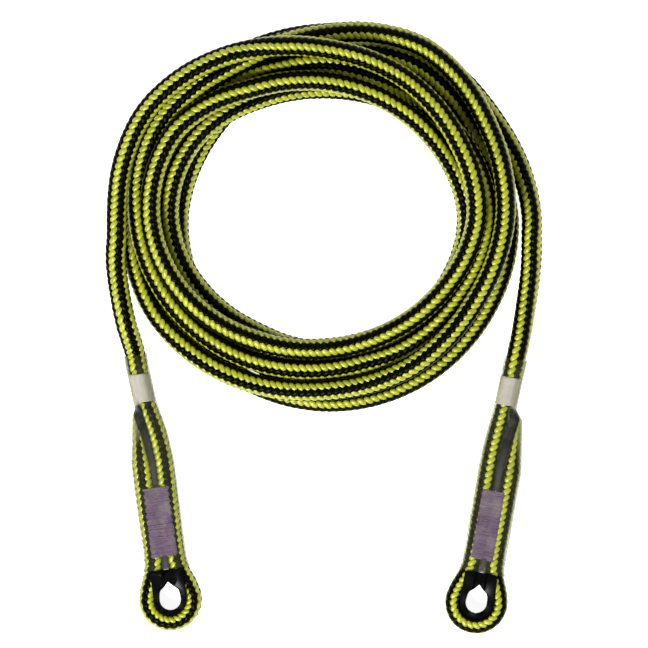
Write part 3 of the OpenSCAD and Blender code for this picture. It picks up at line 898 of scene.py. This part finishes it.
def sleeve(top):
    """(points, faces, fields) of the film's outer and inner face, joined at both ends."""
    ys = np.arange(CROWN_Y + SOFT_GAP, SLEEVE_END, FILM_STEP)
    folds = rng.bit_generator.state
    outer = np.array([film_ring(top, y, SLEEVE_WALL) for y in ys])
    inner = np.array([film_ring(top, y, FILM_CLEAR) for y in ys])
    names = ("web", "rim", "milk", "web_shade_depth")
    shares = np.concatenate([outer[..., 3:], inner[..., 3:]]).reshape(-1, len(names)).T
    fields = dict(zip(names, shares))
    # Both faces have the same folds.
    outer = wrinkled(outer[..., :3])
    rng.bit_generator.state = folds
    inner = wrinkled(inner[..., :3])
    outer[..., 2] = np.maximum(outer[..., 2], LOWEST)
    inner[..., 2] = np.maximum(inner[..., 2], INNER_LOWEST)
    rows, columns = outer.shape[:2]
    half = rows * columns
    faces = [
        grid_faces(rows, columns, closed=True),
        grid_faces(rows, columns, closed=True, first=half, flip=True),
    ]
    k = np.arange(columns)
    for row, flip in ((0, False), (rows - 1, True)):
        a, b = row * columns + k, row * columns + (k + 1) % columns
        end = np.stack([b, a, a + half, b + half], 1)
        faces.append(end[:, ::-1] if flip else end)
    points = np.concatenate([outer.reshape(-1, 3), inner.reshape(-1, 3)])
    return points, np.concatenate(faces), fields


def label(top, print_and_shade_side):
    """(points, faces, fields) of the band round the standing strand, darker on one side for its print
    and painted shade.
    """
    angle = circle(LABEL_SIDES)
    ys = np.linspace(TOP_Y[SEAM - 1], TOP_Y[SEAM + 1], LABEL_ROWS)

    def ring(y, r):
        x = strand_at(top, y) + r * np.cos(angle)
        return np.stack([x, np.full(LABEL_SIDES, y), EYE_Z + r * np.sin(angle)], 1)

    outer = [ring(y, LABEL_R + LABEL_WALL) for y in ys]
    inner = [ring(y, LABEL_R) for y in ys[::-1]]
    loops = outer + inner + outer[:1]
    # Print and painted shade darken the band on one side; the right eye's side is flipped so that, once
    # mirrored, both bands are dark on the same side.
    print_and_shade = np.clip((print_and_shade_side * LABEL_R * np.cos(angle) - PRINT_AND_SHADE_FROM) / PRINT_AND_SHADE_FROM, 0, 1)
    points, faces = tube(loops, caps=False)
    return points, faces, {"print_and_shade": np.tile(print_and_shade, len(loops))}


# ---- Thimbles ------------------------------------------------------------------------------

# The hole is cut a hair wider than the CAD's, so that its whole wall goes. Its outline above the
# middle is an arch, half its width at each height up to the pointed tip.
HOLE_R = 6.35
HOLE_ARCH = [(6.25, 1.5), (5.85, 4.4), (5.1, 6), (2.8, 7.8), (1.3, 9.3)]
HOLE_TIP = 10.7
# The bell mouth round the hole on each face, and the channel from it up to the crown.
MOUTH_R, MOUTH_DEEP, MOUTH_LAP, MOUTH_FLARE = 9.6, 2.2, 0.4, 0.2
CHANNEL_W, CHANNEL_DEEP, CHANNEL_LIFT = 3.9, 2.8, 0.2
CHANNEL_Y = (CROWN_Y + 2, HOLE_TIP - 2.5)
# A cutter reaches this far out of the face that it cuts.
MOUTH_OUT, HOLE_OUT = 0.5, 1
CUT_SIDES = 64
EDGE_ROUND, EDGE_SEGMENTS = 0.35, 2
EDGE_ANGLE, SHARP_ANGLE = math.radians(50), math.radians(22)
WELD = 0.002


def cutter(loops, place, flip):
    """A closed solid through two or more loops of points in the eye's frame, to cut from a copy."""
    points, faces = tube([np.asarray(loop, float) for loop in loops])
    faces = [face[::-1] for face in faces] if flip else faces
    mesh = bpy.data.meshes.new("cutter")
    mesh.from_pydata((place(points) * MM).tolist(), [], faces)
    return linked("cutter", mesh)


def thimble_cutters(place, low, high, flip):
    """On each face the bell mouth round the hole and the channel above it, and the arched hole."""
    cutters = []
    around = circle(CUT_SIDES)
    for face, way_out in ((low, -1), (high, 1)):
        rings = [
            (HOLE_R - MOUTH_LAP, face - way_out * MOUTH_DEEP),
            (MOUTH_R, face),
            (MOUTH_R + MOUTH_FLARE, face + way_out * MOUTH_OUT),
        ]
        mouth = [[(r * math.cos(a), r * math.sin(a), z) for a in around] for r, z in rings]
        cutters.append(cutter(mouth[::way_out], place, flip))
        middle = face + way_out * CHANNEL_LIFT
        channel = [
            [(CHANNEL_W * math.cos(a), y, middle + CHANNEL_DEEP * math.sin(a)) for a in around]
            for y in CHANNEL_Y
        ]
        cutters.append(cutter(channel, place, flip))
    lower_half = np.linspace(math.pi, 2 * math.pi, CUT_SIDES // 2 + 1)
    arch = HOLE_ARCH + [(0, HOLE_TIP)] + [(-x, y) for x, y in HOLE_ARCH[::-1]]
    hole = [(HOLE_R * math.cos(a), HOLE_R * math.sin(a)) for a in lower_half] + arch
    ends = (low - HOLE_OUT, high + HOLE_OUT)
    cutters.append(cutter([[(x, y, z) for x, y in hole] for z in ends], place, flip))
    return cutters


def thimble_piece(name, node, place, flip):
    """A copy of the CAD's thimble with its mouths, arch and channels cut and its edges rounded."""
    mesh = node.data.copy()
    mesh.name = name
    welded = bmesh.new()
    welded.from_mesh(mesh)
    bmesh.ops.remove_doubles(welded, verts=welded.verts, dist=WELD * MM)
    welded.to_mesh(mesh)
    welded.free()
    draft = linked(name + "_draft", mesh)
    low, high = (corner[2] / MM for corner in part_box(node.name))
    cutters = thimble_cutters(place, low, high, flip)
    for made in cutters:
        cut = draft.modifiers.new("cut", "BOOLEAN")
        cut.operation, cut.object, cut.solver = "DIFFERENCE", made, "EXACT"
    edges = draft.modifiers.new("edges", "BEVEL")
    edges.width, edges.segments = EDGE_ROUND * MM, EDGE_SEGMENTS
    edges.limit_method, edges.angle_limit = "ANGLE", EDGE_ANGLE
    bpy.context.view_layer.update()
    final = bpy.data.meshes.new_from_object(draft.evaluated_get(bpy.context.evaluated_depsgraph_get()))
    for spare in (*cutters, draft):
        bpy.data.objects.remove(spare)
    final.shade_smooth()
    final.set_sharp_from_angle(angle=SHARP_ANGLE)
    final.materials.clear()
    final.materials.append(polyamide)
    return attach(linked(name, final), BODY)


for eye, place, top, flip in (
    ("left", left_place, LEFT_TOP, False),
    ("right", right_place, RIGHT_TOP, True),
):
    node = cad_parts[eye + "_thimble"]
    piece = thimble_piece(eye + "_moulded_thimble", node, place, flip)
    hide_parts(eye + "_thimble")
    loops = stitching(place, STITCH_W[eye], STITCH_SHIFT[eye])
    piece = add_mesh(eye + "_thread", thread, *loops)
    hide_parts(eye + "_stitching")
    points, faces, fields = label(top, -1 if flip else 1)
    piece = add_mesh(eye + "_label_band", label_film, place(points), faces, fields=fields)
    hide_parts(eye + "_label")
    points, faces, fields = sleeve(top)
    faces = faces[:, ::-1] if flip else faces
    piece = add_mesh(eye + "_clear_sleeve", clear_film, place(points), faces, fields=fields)
    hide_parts(eye + "_sleeve")

# ---- Floor, light and camera ---------------------------------------------------------------

FLOOR_HALF = 3000
FLOOR_GLOW = 0.9
# Each light's name, place (m), size (m) and power (W). All aim at the origin.
LIGHTS = [
    ("key", (-0.75, -1.55, 2.0), 0.9, 125),
    ("fill_left", (-2.0, 1.0, 1.7), 1.2, 16),
    ("fill_right", (2.0, -0.6, 1.7), 1.2, 12),
    ("fill_high", (0.9, 2.0, 1.7), 1.2, 22),
]
WORLD_LIGHT = 0.16
# The camera looks straight down from far away, and sees this width (mm) round this place.
SEEN_W = 388.8
AIM = (0.1, 2.2, 8)
LENS = 1000
SENSOR = 36


def floor_material():
    """White that glows a little, as the photograph's background does."""
    n = Nodes("pale_floor")
    return n.finish(
        Base_Color=grey(0.8),
        Roughness=0.9,
        Specular_IOR_Level=0.1,
        Emission_Color=grey(1),
        Emission_Strength=FLOOR_GLOW,
    )


def area_light(name, place, size, power):
    """A round lamp that aims at the origin."""
    lamp = bpy.data.lights.new(name, "AREA")
    lamp.shape = "DISK"
    lamp.size = size
    lamp.energy = power
    made = linked(name, lamp)
    made.location = place
    made.rotation_euler = (-Vector(place)).to_track_quat("-Z", "Y").to_euler()


edge = FLOOR_HALF * MM
floor_mesh = bpy.data.meshes.new("floor")
corners = [(-edge, -edge, 0), (edge, -edge, 0), (edge, edge, 0), (-edge, edge, 0)]
floor_mesh.from_pydata(corners, [], [(0, 1, 2, 3)])
floor_mesh.materials.append(floor_material())
floor = linked("floor", floor_mesh)

for light in LIGHTS:
    area_light(*light)
world = bpy.data.worlds.new("studio")
world.use_nodes = True
background = world.node_tree.nodes["Background"]
background.inputs[0].default_value = grey(1)
background.inputs[1].default_value = WORLD_LIGHT
bpy.context.scene.world = world

lens = bpy.data.cameras.new("camera")
lens.lens = LENS
lens.sensor_width = SENSOR
camera = linked("camera", lens)
camera.location = [AIM[0] * MM, AIM[1] * MM, (AIM[2] + SEEN_W * LENS / SENSOR) * MM]
bpy.context.scene.camera = camera
bpy.context.scene.view_settings.view_transform = "Standard"
